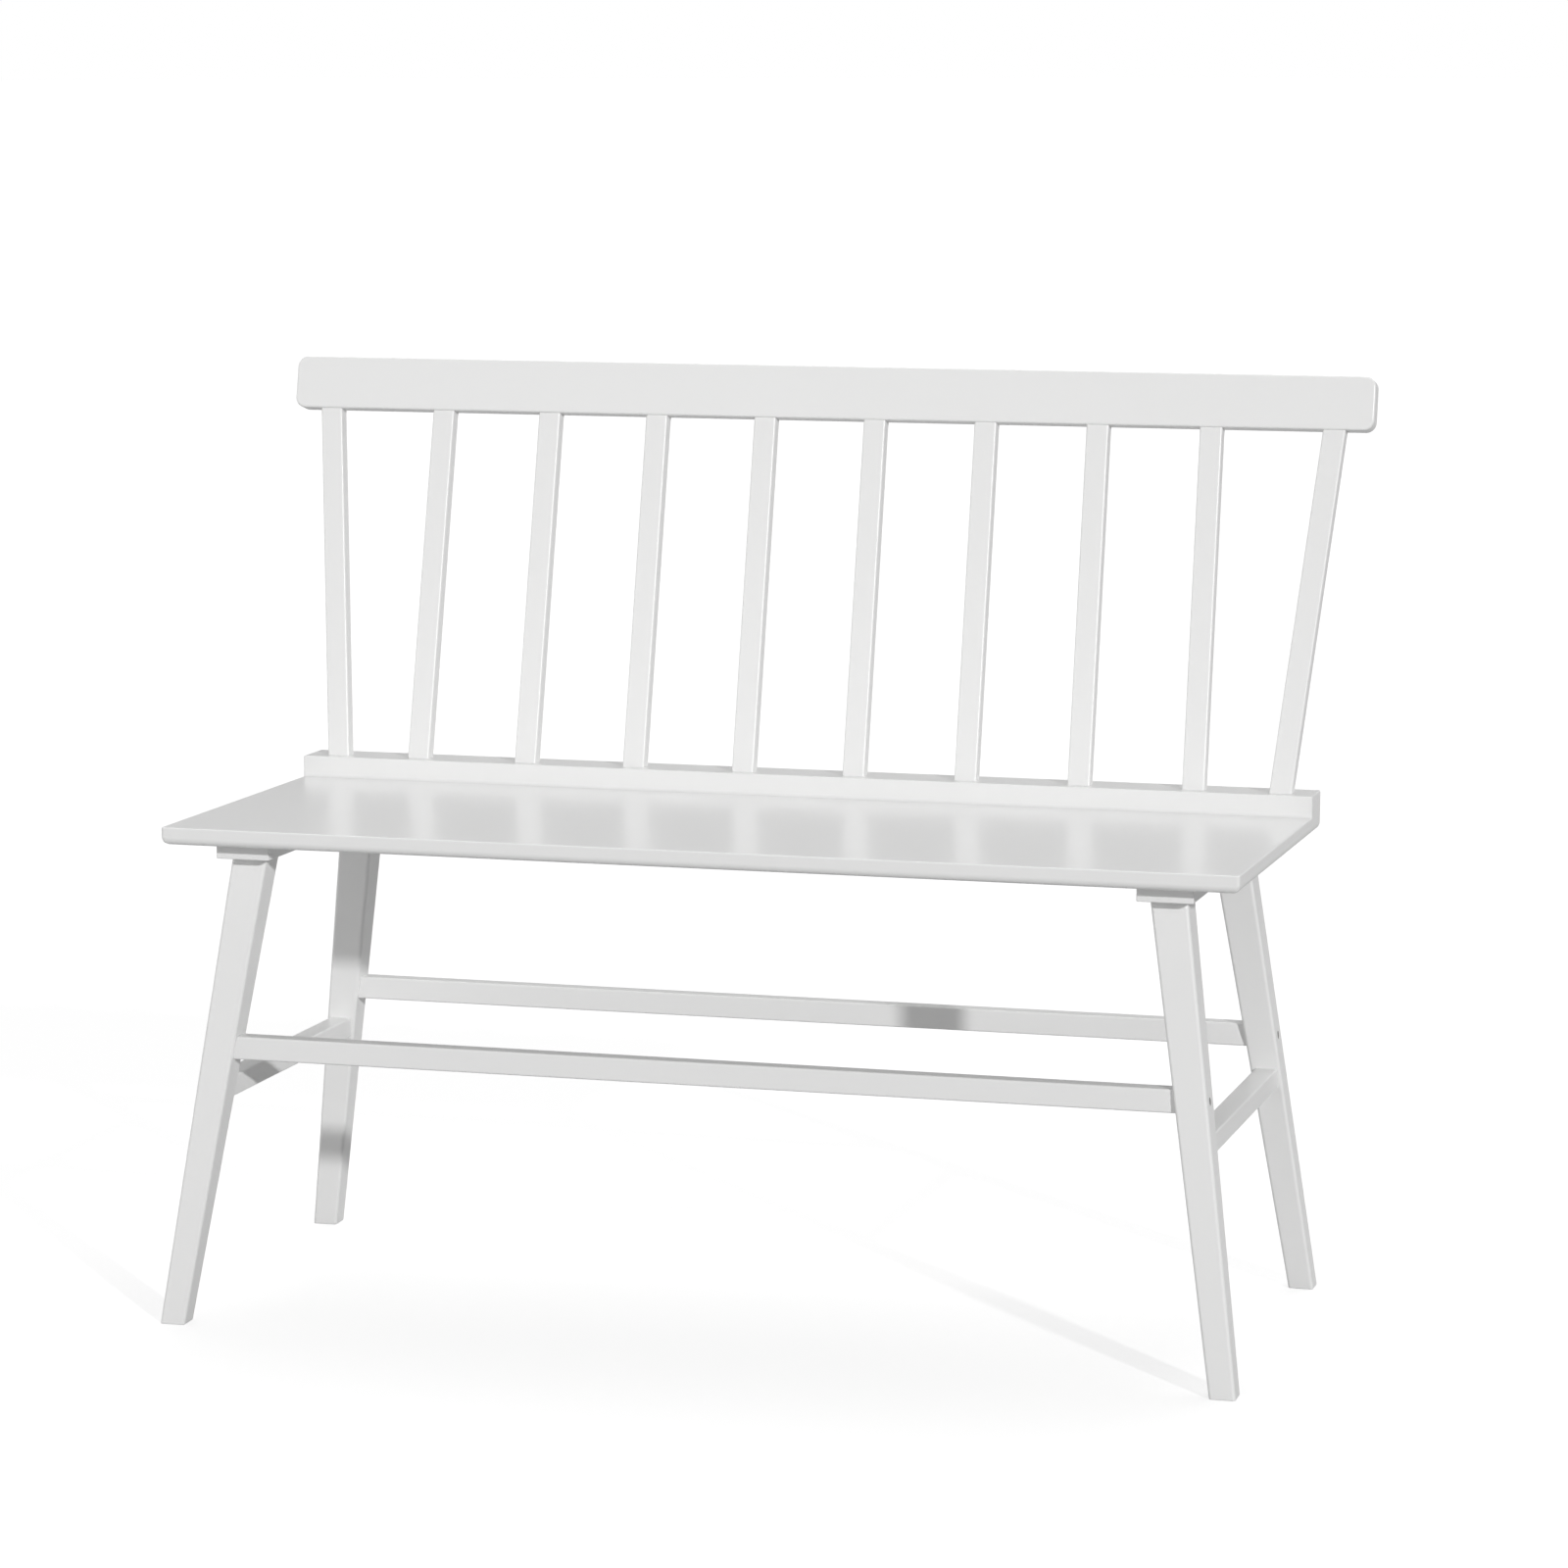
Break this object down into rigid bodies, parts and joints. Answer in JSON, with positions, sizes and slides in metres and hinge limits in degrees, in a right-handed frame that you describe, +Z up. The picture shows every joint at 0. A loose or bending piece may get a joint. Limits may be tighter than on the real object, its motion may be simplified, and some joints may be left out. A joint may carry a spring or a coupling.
{
  "type": "slat-back dining bench",
  "caption": "White painted dining bench with a raked seat, a leaning slat back under a straight top rail, and splayed tapered legs tied by stretchers.",
  "frame": {"origin": "on the floor, under the middle of the bench's bounding box", "axes": "+X along the bench's length, to the right seen from the front; +Y from the front to the back; +Z up"},
  "size_m": [1.0744, 0.5113, 0.8626],
  "materials": {
    "painted_wood": "white satin paint",
    "bolt_steel": "plain steel",
    "zinc_steel": "zinc plated"
  },
  "bodies": {
    "root": {"seat_board": "painted_wood", "top_rail": "painted_wood", "back_slat_01": "painted_wood", "back_slat_02": "painted_wood", "back_slat_03": "painted_wood", "back_slat_04": "painted_wood", "back_slat_05": "painted_wood", "back_slat_06": "painted_wood", "back_slat_07": "painted_wood", "back_slat_08": "painted_wood", "back_slat_09": "painted_wood", "back_slat_10": "painted_wood", "seat_cleat_left": "painted_wood", "seat_cleat_right": "painted_wood", "leg_front_left": "painted_wood", "leg_front_right": "painted_wood", "leg_back_left": "painted_wood", "leg_back_right": "painted_wood", "side_stretcher_left": "painted_wood", "side_stretcher_right": "painted_wood", "long_stretcher_front": "painted_wood", "long_stretcher_back": "painted_wood", "stretcher_bolt_front_left": "bolt_steel", "stretcher_bolt_front_right": "bolt_steel", "stretcher_bolt_back_left": "bolt_steel", "stretcher_bolt_back_right": "bolt_steel", "barrel_nut_front_left": "zinc_steel", "barrel_nut_front_right": "zinc_steel", "barrel_nut_back_left": "zinc_steel", "barrel_nut_back_right": "zinc_steel", "cleat_screw_left_1": "zinc_steel", "cleat_screw_left_2": "zinc_steel", "cleat_screw_left_3": "zinc_steel", "cleat_screw_right_1": "zinc_steel", "cleat_screw_right_2": "zinc_steel", "cleat_screw_right_3": "zinc_steel"}
  },
  "joints": []
}
